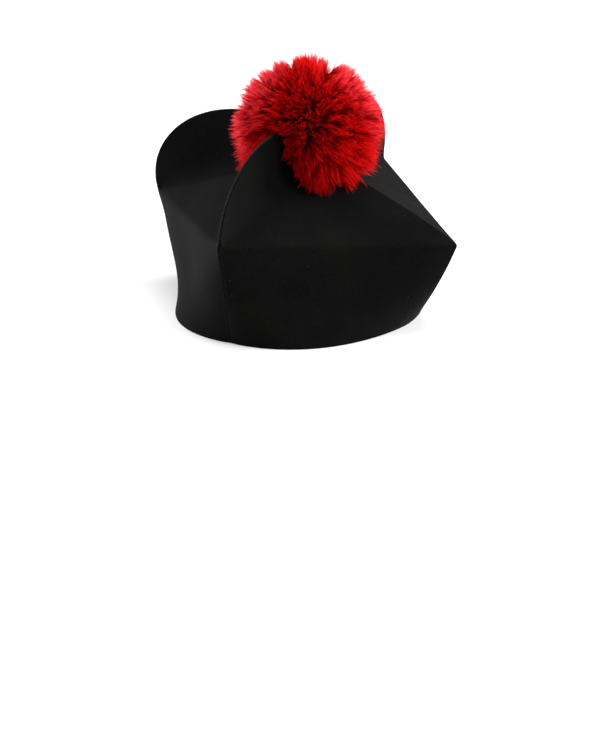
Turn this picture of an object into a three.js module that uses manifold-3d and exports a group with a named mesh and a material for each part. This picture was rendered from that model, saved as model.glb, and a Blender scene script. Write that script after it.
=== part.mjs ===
// A square four-cornered cap of stiff black cloth with three upright horns and a red pompom.
// Millimetres. +Z is up, the rim stands on z = 0, and the Z axis runs through the tip of the crown.
// The front of the cap, over the wearer's forehead, faces -Y, and the wearer's left is +X.
//
// The crown is sewn from four quarter panels that meet in seams at the four corners. Each panel is
// one cloth: it rises as the wall, folds over along a soft line into the sloping top, and turns up
// beside the seams, so that two neighbouring panels stand back to back and make a flat horn.
import * as THREE from 'three';
import { mergeVertices } from 'three/addons/utils/BufferGeometryUtils.js';
import Module from 'manifold-3d';

// ---- cloth ----
const CLOTH = 1.0;            // thickness of the stiffened cloth
const GAP = 0.3;              // between two neighbouring pieces
const HEM_EXTRA = 1.0;        // what the turned-in hem adds to the thickness
const HEM_TOP = 0.11;         // height of the hem, as a share of the wall
const HEM_STEP = 0.13;        // where the hem's inner edge has ended
const HEM_ROWS = 2;           // the rows at the foot and at the top of the hem

// ---- head opening ----
const RIM_HALF_WIDTH = 86;
const RIM_HALF_LENGTH = 101;
const RIM_FORWARD = 3.4;      // the oval lies this far in front of the crown's axis

// ---- crown ----
const TIP_HEIGHT = 117.5;     // where the four panels meet, under the pompom
const VALLEY_CUT = 14;        // how far from the valley line its round begins
const VALLEY_SHARE = 0.45;    // and the most of a low horn or a narrow facet that the round takes
const RIDGE_RISE = 2;         // how far the ridge that has no horn bows up
const RIDGE_BOW = 0.6;        // under 1 it is highest nearer the corner than the tip
const HORN_CENTRE = 45;       // distance of the horns' highest point from the axis
const WALL_WAIST = 0.45;      // how early the middle of a wall reaches the width of the top

// reach and height: the corner of the top. level and top: the middle and the highest point of the
// elliptic horn edge. swell: how far the seam below the corner bows outwards.
const CORNERS = {
  front: { turn: -90, reach: 125.5, height: 76.5, level: 72, top: 138.5, swell: -0.02 },
  left: { turn: 0, reach: 121.5, height: 66, swell: 0.09 },
  back: { turn: 90, reach: 121.5, height: 82, level: 94.5, top: 147.5, swell: 0.05 },
  right: { turn: 180, reach: 121.5, height: 66, level: 80, top: 137.5, swell: 0.09 },
};

// skew: how much the quarter's rim fills out in its first half and draws in in its second half.
const PANELS = [
  { name: 'panel_front_left', from: 'front', to: 'left', skew: 0.015 },
  { name: 'panel_back_left', from: 'left', to: 'back', skew: 0 },
  { name: 'panel_back_right', from: 'back', to: 'right', skew: 0 },
  { name: 'panel_front_right', from: 'right', to: 'front', skew: -0.025 },
];

// ---- pompom ----
const POMPOM_RADIUS = 55.5;
const POMPOM_TOP = 183.5;
const POMPOM_CENTRE = 137;
const POMPOM_CLEARANCE = 0.4; // the crown is grown by this before it is cut out of the pompom
const KNOT_RADIUS = 10;       // room round the tip for the knot that ties the pompom down
const KNOT_HEIGHT = 20;
const SEAM_OVERLAP = 0.05;    // the cuts of two neighbouring quarters run into each other by twice this

// ---- mesh ----
const WALL_ROWS = 6;
const TOP_ROWS = 14;
const HORN_COLUMNS = 4;
const VALLEY_COLUMNS = 3;
const FACET_COLUMNS = 6;
const LAST_RUN = 0.97;        // the rows end here, and one point closes the rest
const BALL_SIDES = 32;
const BALL_RINGS = 20;
const KNOT_SIDES = 12;
const COLUMNS = 2 * (HORN_COLUMNS + VALLEY_COLUMNS) + FACET_COLUMNS;
const ROW_SPREAD = 1.35;      // over 1 the rows of the top lie closer together near the fold
const SETTLE = 0.15;          // share of the top over which the columns gather at the valleys
const HORN_REST = 10;         // cloth beside the corner that the horn's columns take at the fold
const VALLEY_REST = 14;

const { lerp, smoothstep, degToRad } = THREE.MathUtils;
const wasm = await Module();
wasm.setup();

// ---- curves of one quarter, in its own frame ----
// x runs out along the panel's first corner, y along its second corner, and z is up.

// Distance from the axis to the rim oval, at an angle seen from above in the cap's frame.
function ovalRadius(angle) {
  const across = Math.cos(angle) / RIM_HALF_WIDTH;
  const along = Math.sin(angle) / RIM_HALF_LENGTH;
  const shift = RIM_FORWARD / RIM_HALF_LENGTH;
  const square = across * across + along * along;
  const half = along * shift;
  return (Math.sqrt(half * half + square * (1 - shift * shift)) - half) / square;
}

// The outer edge of the rim, at a share of the way round the quarter.
function rimPoint(panel, share) {
  const angle = share * Math.PI / 2;
  const turned = angle + degToRad(CORNERS[panel.from].turn);
  const radius = ovalRadius(turned) * (1 + panel.skew * Math.sin(4 * angle));
  return new THREE.Vector3(radius * Math.cos(angle), radius * Math.sin(angle), 0);
}

// Side view of a corner: where the cloth's fold lies and where its horn's edge is.
// run is 0 at the corner and 1 at the tip. grow makes the whole outline larger, and lifts the
// horn's edge by more where it falls steeply to the tip.
function cornerLines(corner, run, grow) {
  const layer = GAP / 2 + CLOTH + grow;
  const horned = corner.top !== undefined;
  const side = horned ? layer : GAP / 2;
  const fold = new THREE.Vector3(
    lerp(corner.reach, layer, run),
    side,
    lerp(corner.height, TIP_HEIGHT, run) + grow,
  );
  const edge = fold.clone();
  if (!horned) {
    fold.z += RIDGE_RISE * Math.sin(Math.PI * Math.pow(run, RIDGE_BOW));
    return { fold, edge: fold.clone() };
  }
  const rise = corner.top - corner.level;
  const start = Math.asin((corner.height - corner.level) / rise);
  const halfReach = (corner.reach - HORN_CENTRE) / Math.cos(start);
  const crestRun = 1 - HORN_CENTRE / corner.reach;
  if (run < crestRun) {
    const angle = lerp(start, Math.PI / 2, run / crestRun);
    edge.x = HORN_CENTRE + (halfReach + grow) * Math.cos(angle);
    edge.z = corner.level + (rise + grow) * Math.sin(angle);
  } else {
    const fall = (run - crestRun) / (1 - crestRun);
    edge.z = lerp(corner.top, TIP_HEIGHT, fall * fall) + grow * (1 + 2 * fall);
  }
  return { fold, edge };
}

// The cross line of the top at one run: down one horn, through its valley, over the facet,
// through the other valley and up the other horn.
function topPath(panel, run, grow) {
  const first = cornerLines(CORNERS[panel.from], run, grow);
  const second = cornerLines(CORNERS[panel.to], run, grow);
  for (const point of [second.fold, second.edge]) {
    point.set(point.y, point.x, point.z);
  }
  const width = first.fold.distanceTo(second.fold);
  const cut = (line) => {
    const horn = line.edge.distanceTo(line.fold);
    return Math.min(VALLEY_CUT, VALLEY_SHARE * horn, VALLEY_SHARE * width);
  };
  const towards = (point, target, distance) => {
    const step = target.clone().sub(point);
    return point.clone().add(step.setLength(Math.min(distance, step.length())));
  };
  const firstHorn = towards(first.fold, first.edge, cut(first));
  const firstFacet = towards(first.fold, second.fold, cut(first));
  const secondFacet = towards(second.fold, first.fold, cut(second));
  const secondHorn = towards(second.fold, second.edge, cut(second));
  return [
    new THREE.LineCurve3(first.edge, firstHorn),
    new THREE.QuadraticBezierCurve3(firstHorn, first.fold, firstFacet),
    new THREE.LineCurve3(firstFacet, secondFacet),
    new THREE.QuadraticBezierCurve3(secondFacet, second.fold, secondHorn),
    new THREE.LineCurve3(secondHorn, second.edge),
  ];
}

// How many columns each stretch of the cross line gets. A corner with no horn leaves its columns
// to the facet.
function stretchColumns(panel) {
  const counts = [HORN_COLUMNS, VALLEY_COLUMNS, FACET_COLUMNS, VALLEY_COLUMNS, HORN_COLUMNS];
  if (CORNERS[panel.from].top === undefined) {
    counts[2] += counts[0] + counts[1];
    counts[0] = 0;
    counts[1] = 0;
  }
  if (CORNERS[panel.to].top === undefined) {
    counts[2] += counts[3] + counts[4];
    counts[3] = 0;
    counts[4] = 0;
  }
  return counts;
}

// The point at a distance from the start of a row of curves that follow on each other.
function pointAlong(curves, lengths, distance) {
  let stretch = 0;
  let left = distance;
  while (stretch < curves.length - 1 && left > lengths[stretch]) {
    left -= lengths[stretch];
    stretch += 1;
  }
  const share = lengths[stretch] > 0 ? Math.min(left / lengths[stretch], 1) : 0;
  return curves[stretch].getPoint(share);
}

// Where the columns cross the line, measured along it. Near the fold the horns are still low, so
// the columns of horn and valley are spread over a little cloth of their own.
function columnPlaces(panel, lengths, run) {
  const loose = 1 - smoothstep(run, 0, SETTLE);
  const total = lengths.reduce((sum, length) => sum + length, 0);
  const counts = stretchColumns(panel);
  const firstHorn = counts[0] > 0 ? lengths[0] + loose * HORN_REST : 0;
  const firstValley = counts[1] > 0 ? firstHorn + lengths[1] + loose * VALLEY_REST : 0;
  const secondHorn = counts[4] > 0 ? total - lengths[4] - loose * HORN_REST : total;
  const secondValley = counts[3] > 0 ? secondHorn - lengths[3] - loose * VALLEY_REST : total;
  const bounds = [0, firstHorn, firstValley, secondValley, secondHorn, total];
  const places = [0];
  counts.forEach((count, stretch) => {
    for (let column = 1; column <= count; column += 1) {
      places.push(lerp(bounds[stretch], bounds[stretch + 1], column / count));
    }
  });
  return places;
}

function topRow(panel, run, grow = 0) {
  const curves = topPath(panel, run, grow);
  const lengths = curves.map((curve) => curve.getLength());
  const places = columnPlaces(panel, lengths, run);
  return places.map((place) => pointAlong(curves, lengths, place));
}

// A level line across the wall. climb is 0 at the rim and 1 at the fold. It goes over from the
// oval of the rim to the straight fold, early in the middle of the wall and late at its seams.
function wallRow(panel, climb) {
  const foldLine = topRow(panel, 0);
  const first = CORNERS[panel.from];
  const second = CORNERS[panel.to];
  const width = foldLine[0].distanceTo(foldLine[COLUMNS]);
  return foldLine.map((top) => {
    const share = foldLine[0].distanceTo(top) / width;
    const middle = 4 * share * (1 - share);
    const swell = lerp(first.swell, second.swell, share) * (1 - middle) + WALL_WAIST * middle;
    const across = climb + swell * Math.sin(Math.PI * climb);
    const point = rimPoint(panel, share);
    point.x = Math.max(lerp(point.x, top.x, across), GAP / 2);
    point.y = Math.max(lerp(point.y, top.y, across), GAP / 2);
    point.z = top.z * climb;
    return point;
  });
}

// ---- panels ----

function wallClimbs() {
  const climbs = [0, HEM_TOP];
  for (let row = 0; row < WALL_ROWS; row += 1) {
    climbs.push(lerp(HEM_STEP, 1, row / WALL_ROWS));
  }
  return climbs;
}

function topRuns() {
  const runs = [];
  for (let row = 0; row < TOP_ROWS; row += 1) {
    runs.push(LAST_RUN * Math.pow(row / (TOP_ROWS - 1), ROW_SPREAD));
  }
  return runs;
}

// The point inside the cloth, across from one point of the outer sheet. At a seam it stays in
// the plane of the seam, at the rim on the ground, and along a horn's edge no higher than outside.
function insidePoint(point, normal, row, column) {
  const way = normal.clone();
  let depth = row < HEM_ROWS ? CLOTH + HEM_EXTRA : CLOTH;
  if (row === 0) way.setZ(0).normalize();
  if (column === 0) way.y = 0;
  if (column === COLUMNS) way.x = 0;
  if (column === 0 || column === COLUMNS) depth *= Math.min(2, 1 / way.lengthSq());
  const inside = point.clone().addScaledVector(way, -depth);
  if (row >= HEM_ROWS + WALL_ROWS) inside.z = Math.min(inside.z, point.z);
  inside.x = column === COLUMNS ? GAP / 2 : Math.max(inside.x, GAP / 2);
  inside.y = column === 0 ? GAP / 2 : Math.max(inside.y, GAP / 2);
  return inside;
}

function buildGeometry(points, triangles) {
  const geometry = new THREE.BufferGeometry();
  const flat = points.flatMap((point) => point.toArray());
  geometry.setAttribute('position', new THREE.Float32BufferAttribute(flat, 3));
  geometry.setIndex(triangles.flat());
  return geometry;
}

// Joins a grid of rows to a single tip. Both faces of the cloth are such sheets. Each four-sided
// field is divided along its shorter diagonal, which keeps sharp valleys smooth.
function sheetTriangles(points, rows, columns, indexOf) {
  const triangles = [];
  for (let row = 0; row < rows; row += 1) {
    for (let column = 0; column < columns; column += 1) {
      const [a, b] = [indexOf(row, column), indexOf(row, column + 1)];
      const [d, c] = [indexOf(row + 1, column), indexOf(row + 1, column + 1)];
      if (c === d) {
        triangles.push([a, b, c]);
      } else if (points[a].distanceTo(points[c]) < points[b].distanceTo(points[d])) {
        triangles.push([a, b, c], [a, c, d]);
      } else {
        triangles.push([a, b, d], [b, c, d]);
      }
    }
  }
  return triangles;
}

// One quarter of the cap: the outer sheet, the inner sheet, and the strips that close the cloth's
// edges at the rim and at the two seams.
function panelGeometry(panel) {
  const lines = wallClimbs().map((climb) => wallRow(panel, climb));
  lines.push(...topRuns().map((run) => topRow(panel, run)));
  const rows = lines.length;
  const width = COLUMNS + 1;
  const tip = rows * width;
  const layer = GAP / 2 + CLOTH;
  const outer = [...lines.flat(), new THREE.Vector3(layer, layer, TIP_HEIGHT)];
  const outerIndex = (row, column) => (row < rows ? row * width + column : tip);
  const outerTriangles = sheetTriangles(outer, rows, COLUMNS, outerIndex);

  const sheet = buildGeometry(outer, outerTriangles);
  sheet.computeVertexNormals();
  const normals = sheet.attributes.normal;
  const inner = outer.slice(0, tip).map((point, index) => {
    const normal = new THREE.Vector3().fromBufferAttribute(normals, index);
    return insidePoint(point, normal, Math.floor(index / width), index % width);
  });
  inner.push(new THREE.Vector3(GAP / 2, GAP / 2, TIP_HEIGHT - CLOTH));

  const sheetSize = tip + 1;
  const triangles = [...outerTriangles];
  for (const [a, b, c] of outerTriangles) {
    triangles.push([a + sheetSize, c + sheetSize, b + sheetSize]);
  }
  const strip = (a, b, insideA, insideB) => {
    triangles.push([a, insideA, insideB]);
    triangles.push([a, insideB, b]);
  };
  for (let column = 0; column < COLUMNS; column += 1) {
    const [a, b] = [outerIndex(0, column), outerIndex(0, column + 1)];
    strip(a, b, a + sheetSize, b + sheetSize);
  }
  for (let row = 0; row < rows; row += 1) {
    const [a, b] = [outerIndex(row + 1, 0), outerIndex(row, 0)];
    strip(a, b, a + sheetSize, b + sheetSize);
    const [c, d] = [outerIndex(row, COLUMNS), outerIndex(row + 1, COLUMNS)];
    strip(c, d, c + sheetSize, d + sheetSize);
  }
  return buildGeometry([...outer, ...inner], triangles);
}

// ---- pompom ----

// A solid for cutting, from a closed mesh.
function toManifold(geometry) {
  const plain = geometry.clone();
  plain.deleteAttribute('normal');
  plain.deleteAttribute('uv');
  const merged = mergeVertices(plain, 1e-4);
  return new wasm.Manifold(new wasm.Mesh({
    numProp: 3,
    vertProperties: new Float32Array(merged.attributes.position.array),
    triVerts: new Uint32Array(merged.index.array),
  }));
}

function fromManifold(solid) {
  const mesh = solid.getMesh();
  const geometry = new THREE.BufferGeometry();
  geometry.setAttribute('position', new THREE.BufferAttribute(mesh.vertProperties, 3));
  geometry.setIndex(new THREE.BufferAttribute(mesh.triVerts, 1));
  return geometry;
}

// The space that one quarter of the crown takes up under the pompom, a little enlarged. It is the
// cone from a point inside the crown to the top of the panel, carried just past both seams.
function quarterSpace(panel) {
  const rows = topRuns().map((run) => {
    const row = topRow(panel, run, POMPOM_CLEARANCE);
    const start = row[0].clone().setY(-SEAM_OVERLAP);
    const end = row[COLUMNS].clone().setX(-SEAM_OVERLAP);
    return [start, ...row, end];
  });
  const columns = COLUMNS + 2;
  const tip = rows.length * (columns + 1);
  const heart = tip + 1;
  const points = rows.flat();
  points.push(new THREE.Vector3(-SEAM_OVERLAP, -SEAM_OVERLAP, TIP_HEIGHT + POMPOM_CLEARANCE));
  points.push(new THREE.Vector3(-SEAM_OVERLAP, -SEAM_OVERLAP, CORNERS.left.height));
  const indexOf = (row, column) => (row < rows.length ? row * (columns + 1) + column : tip);
  const triangles = sheetTriangles(points, rows.length, columns, indexOf);
  for (let column = 0; column < columns; column += 1) {
    triangles.push([indexOf(0, column + 1), indexOf(0, column), heart]);
  }
  for (let row = 0; row < rows.length; row += 1) {
    triangles.push([indexOf(row, 0), indexOf(row + 1, 0), heart]);
    triangles.push([indexOf(row + 1, columns), indexOf(row, columns), heart]);
  }
  const geometry = buildGeometry(points, triangles);
  geometry.rotateZ(degToRad(CORNERS[panel.from].turn));
  return toManifold(geometry);
}

function pompomGeometry() {
  const ball = new THREE.SphereGeometry(POMPOM_RADIUS, BALL_SIDES, BALL_RINGS);
  ball.rotateX(Math.PI / 2);
  const positions = ball.attributes.position;
  for (let index = 0; index < positions.count; index += 1) {
    const height = positions.getZ(index);
    const squash = height > 0 ? (POMPOM_TOP - POMPOM_CENTRE) / POMPOM_RADIUS : 1;
    positions.setZ(index, POMPOM_CENTRE + height * squash);
  }
  const knot = new THREE.CylinderGeometry(KNOT_RADIUS, KNOT_RADIUS, KNOT_HEIGHT, KNOT_SIDES);
  knot.rotateX(Math.PI / 2);
  knot.translate(0, 0, TIP_HEIGHT);
  let solid = toManifold(ball).subtract(toManifold(knot));
  for (const panel of PANELS) solid = solid.subtract(quarterSpace(panel));
  return fromManifold(solid);
}

// ---- the cap ----
const cloth = { color: 0x17181a, roughness: 0.95, metalness: 0 };
const yarn = { color: 0xb5101c, roughness: 1, metalness: 0 };

const cap = new THREE.Group();
for (const panel of PANELS) {
  const mesh = new THREE.Mesh(panelGeometry(panel), new THREE.MeshStandardMaterial(cloth));
  mesh.name = panel.name;
  mesh.rotation.z = degToRad(CORNERS[panel.from].turn);
  cap.add(mesh);
}
const pompom = new THREE.Mesh(pompomGeometry(), new THREE.MeshStandardMaterial(yarn));
pompom.name = 'pompom';
cap.add(pompom);

export default cap;
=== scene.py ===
# %% [markdown]
# # A biretta: a stiff square cap with a pompom
# A biretta is sewn from four quarters of stiffened black cloth. Three of its four corners carry a
# flat upright horn, and a ball of red yarn is tied on where the quarters meet. This lesson dresses
# a finished frame: four plain panels and a plain pompom that hold the real sizes. We never move or
# stretch the frame. We lay finer pieces over it and let them stand for the plain ones.

# %% Load the frame
import math

import bpy
import numpy
from mathutils import Matrix, Vector, noise


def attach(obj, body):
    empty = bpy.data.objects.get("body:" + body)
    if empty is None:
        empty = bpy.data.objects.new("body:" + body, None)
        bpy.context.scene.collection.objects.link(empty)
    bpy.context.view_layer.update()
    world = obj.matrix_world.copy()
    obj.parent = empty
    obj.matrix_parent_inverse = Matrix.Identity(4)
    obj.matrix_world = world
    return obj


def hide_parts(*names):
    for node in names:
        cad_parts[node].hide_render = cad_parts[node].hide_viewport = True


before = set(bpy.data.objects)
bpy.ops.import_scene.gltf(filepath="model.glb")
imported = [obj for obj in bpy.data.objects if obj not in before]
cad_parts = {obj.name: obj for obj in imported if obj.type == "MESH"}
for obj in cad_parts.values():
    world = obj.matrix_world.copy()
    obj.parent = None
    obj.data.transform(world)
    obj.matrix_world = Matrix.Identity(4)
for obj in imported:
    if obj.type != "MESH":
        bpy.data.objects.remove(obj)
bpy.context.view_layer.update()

# %% [markdown]
# ## The camera
# The cap is seen from its front, turned a little to the wearer's left, and from above. A long
# lens from far away keeps its lines nearly parallel. We aim a little below the cap, so that it
# stands in the upper half of an upright picture, and roll the camera by a hair.

# %% Camera
VIEW_AZIMUTH = math.radians(27.75)
VIEW_ELEVATION = math.radians(19.83)
VIEW_ROLL = math.radians(1.76)
VIEW_DISTANCE = 2.5
VIEW_LENS = 167.8
VIEW_AIM = Vector((0.0203, -0.0398, -0.0389))

level = math.cos(VIEW_ELEVATION)
to_camera = Vector((
    math.sin(VIEW_AZIMUTH) * level, -math.cos(VIEW_AZIMUTH) * level, math.sin(VIEW_ELEVATION),
))
right = Vector((math.cos(VIEW_AZIMUTH), math.sin(VIEW_AZIMUTH), 0))
right.rotate(Matrix.Rotation(VIEW_ROLL, 3, to_camera))
turn = Matrix((right, to_camera.cross(right), to_camera)).transposed()

bpy.ops.object.camera_add(location=VIEW_AIM + VIEW_DISTANCE * to_camera, rotation=turn.to_euler())
camera = bpy.context.object
camera.name = "camera"
camera.data.lens = VIEW_LENS
camera.data.clip_end = 50
bpy.context.scene.camera = camera
print("camera at", [round(v, 3) for v in camera.location])

# %% [markdown]
# ## Floor and light
# The cap rests on a plain white floor, wide enough to fill the picture. The floor glows a little
# by itself, so it stays white far out and the shadow under the rim is soft. Black cloth only shows
# its shape by the pale shine that grazes it, so the light comes in wide sheets from both sides
# and from behind, and little of it from the camera's side.

# %% Floor
FLOOR_SIZE = 16
FLOOR_GREY = 0.66
FLOOR_GLOW = 0.35

bpy.ops.mesh.primitive_plane_add(size=FLOOR_SIZE, location=(0, 0, 0))
floor = bpy.context.object
floor.name = "floor"

floor_paint = bpy.data.materials.new("floor_paint")
floor_paint.use_nodes = True
shader = floor_paint.node_tree.nodes["Principled BSDF"]
shader.inputs["Base Color"].default_value = (FLOOR_GREY, FLOOR_GREY, FLOOR_GREY, 1)
shader.inputs["Roughness"].default_value = 0.9
shader.inputs["Specular IOR Level"].default_value = 0.1
shader.inputs["Emission Color"].default_value = (1, 1, 1, 1)
shader.inputs["Emission Strength"].default_value = FLOOR_GLOW
floor.data.materials.append(floor_paint)

# %% Lights
LIGHTS = [
    # name, place, size across and up, watts
    ("left_window", (-2.0, -0.3, 0.3), (1.6, 0.5), 57),
    ("high_window", (1.9, -0.2, 1.4), (1.2, 1.2), 32),
    ("back_window", (1.5, 1.6, 0.6), (1.4, 0.8), 70),
    ("ceiling", (0.0, 0.2, 2.6), (1.8, 1.8), 56),
]
LIGHTS_AIM = Vector((0, 0, 0.09))
ROOM_LIGHT = 0.3

for name, place, (across, high), watts in LIGHTS:
    aim = (LIGHTS_AIM - Vector(place)).to_track_quat("-Z", "Y").to_euler()
    bpy.ops.object.light_add(type="AREA", location=place, rotation=aim)
    light = bpy.context.object
    light.name = name
    light.data.shape = "RECTANGLE"
    light.data.size = across
    light.data.size_y = high
    light.data.energy = watts

world = bpy.data.worlds.new("studio")
world.use_nodes = True
world.node_tree.nodes["Background"].inputs["Color"].default_value = (1, 1, 1, 1)
world.node_tree.nodes["Background"].inputs["Strength"].default_value = ROOM_LIGHT
bpy.context.scene.world = world
bpy.context.scene.view_settings.view_transform = "Standard"
print("lights", len(LIGHTS))

# %% [markdown]
# ## Sizes of the crown
# The finer cloth follows the same few sizes as the frame. Each corner of the crown has a reach
# from the middle and a height. Where it carries a horn, the horn's edge is part of an ellipse
# whose level and top are given too. Sizes are in metres.

# %% Sizes
MM = 0.001

# the thickness of cloth and hem, and the space between two quarters
CLOTH = 1.0 * MM
GAP = 0.3 * MM
LAYER = GAP / 2 + CLOTH
HEM = 2.0 * MM
HEM_HEIGHT = 9 * MM

# how far from its end the cloth begins to turn: in the front seam, in the others, on a horn
FRONT_TURN = 2.4 * MM
SEAM_TURN = 1.3 * MM
EDGE_TURN = 0.5 * MM

# rim, tip, valleys beside the horns, the ridge without a horn, and the bend of the fold
RIM_HALF_WIDTH = 86 * MM
RIM_HALF_LENGTH = 101 * MM
RIM_FORWARD = 3.4 * MM
TIP_HEIGHT = 117.5 * MM
VALLEY_CUT = 14 * MM
VALLEY_SHARE = 0.45
RIDGE_RISE = 2 * MM
RIDGE_BOW = 0.6
HORN_CENTRE = 45 * MM
WALL_WAIST = 0.45
FOLD_CUT = 4 * MM
NOSE_CUT = 1.8 * MM

# turn is in degrees round the axis; swell is how far the wall's corner bows from a straight line
CORNERS = {
    "front": dict(
        turn=-90, reach=125.5 * MM, height=76.5 * MM, level=72 * MM, top=138.5 * MM, swell=-0.02),
    "left": dict(
        turn=0, reach=122.5 * MM, height=66 * MM, level=None, top=None, swell=0.09),
    "back": dict(
        turn=90, reach=121.5 * MM, height=82 * MM, level=94.5 * MM, top=147.5 * MM, swell=0.05),
    "right": dict(
        turn=180, reach=121.5 * MM, height=66 * MM, level=80 * MM, top=137.5 * MM, swell=0.09),
}
# skew is how far the rim of a quarter leaves the plain oval
QUARTERS = [
    dict(name="panel_front_left", first="front", second="left", skew=0.015),
    dict(name="panel_back_left", first="left", second="back", skew=0.0),
    dict(name="panel_back_right", first="back", second="right", skew=0.0),
    dict(name="panel_front_right", first="right", second="front", skew=-0.025),
]
print("quarters", [quarter["name"] for quarter in QUARTERS])

# %% [markdown]
# ## The lines of one quarter
# A quarter is drawn in a frame of its own: x runs out to its first corner, y to its second. One
# level line runs across the wall at each height. Above the fold, a cross line comes down one
# horn, bends through the valley, goes over the sloping top and up the other horn.


# %% Helpers for lines
def lerp(start, end, share):
    return start + (end - start) * share


def smooth_step(value, low, high):
    share = min(max((value - low) / (high - low), 0), 1)
    return share * share * (3 - 2 * share)


def length(vector):
    return float(numpy.linalg.norm(vector))


def unit(vectors):
    return vectors / numpy.maximum(numpy.linalg.norm(vectors, axis=-1, keepdims=True), 1e-12)


def round_bend(start, corner, end, steps=10):
    """Points of a bend from start to end, drawn towards corner."""
    share = numpy.linspace(0, 1, steps + 1)[:, None]
    rest = 1 - share
    return rest ** 2 * start + 2 * share * rest * corner + share ** 2 * end


def places_along(line, distances):
    """The points at these distances from the start of a line of points."""
    steps = numpy.linalg.norm(numpy.diff(line, axis=0), axis=1)
    reached = numpy.concatenate(([0], numpy.cumsum(steps)))
    found = [numpy.interp(distances, reached, line[:, axis]) for axis in range(3)]
    return numpy.stack(found, axis=1)


# %% The two edges of a corner
def corner_lines(corner, run):
    """Where the fold and the horn's edge lie: run is 0 at the corner and 1 at the tip."""
    horned = corner["top"] is not None
    side = LAYER if horned else GAP / 2
    reach, height = lerp(corner["reach"], LAYER, run), lerp(corner["height"], TIP_HEIGHT, run)
    fold = numpy.array((reach, side, height))
    if not horned:
        fold[2] += RIDGE_RISE * math.sin(math.pi * run ** RIDGE_BOW)
        return fold, fold.copy()
    edge = fold.copy()
    rise = corner["top"] - corner["level"]
    start = math.asin((corner["height"] - corner["level"]) / rise)
    half_reach = (corner["reach"] - HORN_CENTRE) / math.cos(start)
    crest_run = 1 - HORN_CENTRE / corner["reach"]
    if run < crest_run:
        angle = lerp(start, math.pi / 2, run / crest_run)
        edge[0] = HORN_CENTRE + half_reach * math.cos(angle)
        edge[2] = corner["level"] + rise * math.sin(angle)
    else:
        fall = (run - crest_run) / (1 - crest_run)
        edge[2] = lerp(corner["top"], TIP_HEIGHT, fall * fall)
    return fold, edge


# %% The cross line over the top
HORN_COLUMNS = 18
VALLEY_COLUMNS = 12
FACET_COLUMNS = 30
# by the fold, horn and valley have this much more room for their columns, until run is SETTLE
HORN_REST = 10 * MM
VALLEY_REST = 14 * MM
SETTLE = 0.15
# how soon the seam without a horn narrows to the tip, and where a seam has become a horn's edge
RIDGE_CLOSES = 6
EDGE_FROM = 0.05


def towards(point, target, distance):
    step = target - point
    size = length(step)
    return point + step * (min(distance, size) / size if size > 0 else 0)


def cross_line(quarter, run):
    """The line's points, and the distances at which horn, valley and slope meet."""
    fold_a, edge_a = corner_lines(CORNERS[quarter["first"]], run)
    fold_b, edge_b = (point[[1, 0, 2]] for point in corner_lines(CORNERS[quarter["second"]], run))
    width = length(fold_b - fold_a)
    cut_a = min(VALLEY_CUT, VALLEY_SHARE * length(edge_a - fold_a), VALLEY_SHARE * width)
    cut_b = min(VALLEY_CUT, VALLEY_SHARE * length(edge_b - fold_b), VALLEY_SHARE * width)
    valley_a = round_bend(towards(fold_a, edge_a, cut_a), fold_a, towards(fold_a, fold_b, cut_a))
    valley_b = round_bend(towards(fold_b, fold_a, cut_b), fold_b, towards(fold_b, edge_b, cut_b))
    stretches = [edge_a[None], valley_a, valley_b, edge_b[None]]
    marks = []
    reached = 0
    for before, after in zip(stretches, stretches[1:]):
        reached += float(numpy.linalg.norm(numpy.diff(before, axis=0), axis=1).sum())
        marks.append(reached)
        reached += length(after[0] - before[-1])
        marks.append(reached)
    return numpy.concatenate(stretches), marks[1:]


def stretch_columns(quarter):
    """Columns on horn, valley, slope, valley and horn. Without a horn they go to the slope."""
    counts = [HORN_COLUMNS, VALLEY_COLUMNS, FACET_COLUMNS, VALLEY_COLUMNS, HORN_COLUMNS]
    for corner, own in ((quarter["first"], (0, 1)), (quarter["second"], (3, 4))):
        if CORNERS[corner]["top"] is None:
            counts[2] += sum(counts[place] for place in own)
            for place in own:
                counts[place] = 0
    return counts


def end_turn(corner, run):
    """How far from its end the cloth begins to turn into the seam, or over the horn's edge."""
    if CORNERS[corner]["top"] is None:
        return SEAM_TURN * min(1, RIDGE_CLOSES * (1 - run))
    turn = FRONT_TURN if corner == "front" else SEAM_TURN
    return lerp(turn, EDGE_TURN, smooth_step(run, 0, EDGE_FROM))


def top_row(quarter, run):
    """The two corner points of the cross line, and between them its columns.

    Near the fold the bends of the valleys spread out (loose), and further up they settle.
    """
    line, (horn_a, valley_a, valley_b, horn_b, total) = cross_line(quarter, run)
    loose = 1 - smooth_step(run, 0, SETTLE)
    counts = stretch_columns(quarter)
    start = end_turn(quarter["first"], run)
    end = total - end_turn(quarter["second"], run)
    first_horn = horn_a + loose * HORN_REST if counts[0] else start
    first_valley = first_horn + valley_a - horn_a + loose * VALLEY_REST if counts[1] else start
    second_horn = horn_b - loose * HORN_REST if counts[4] else end
    second_valley = second_horn - (horn_b - valley_b) - loose * VALLEY_REST if counts[3] else end
    bounds = [start, first_horn, first_valley, second_valley, second_horn, end]
    distances = [0, start]
    for stretch, count in enumerate(counts):
        for column in range(1, count + 1):
            distances.append(lerp(bounds[stretch], bounds[stretch + 1], column / count))
    distances.append(total)
    return places_along(line, distances)


# %% The level line across the wall
# above this climb a corner opens from the seam's gap to the layers of its horn
CORNER_OPENS = 0.8


def oval_radius(angle):
    """From the axis to the rim, at an angle seen from above."""
    across = math.cos(angle) / RIM_HALF_WIDTH
    along = math.sin(angle) / RIM_HALF_LENGTH
    shift = RIM_FORWARD / RIM_HALF_LENGTH
    square = across * across + along * along
    half = along * shift
    return (math.sqrt(half * half + square * (1 - shift * shift)) - half) / square


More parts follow.
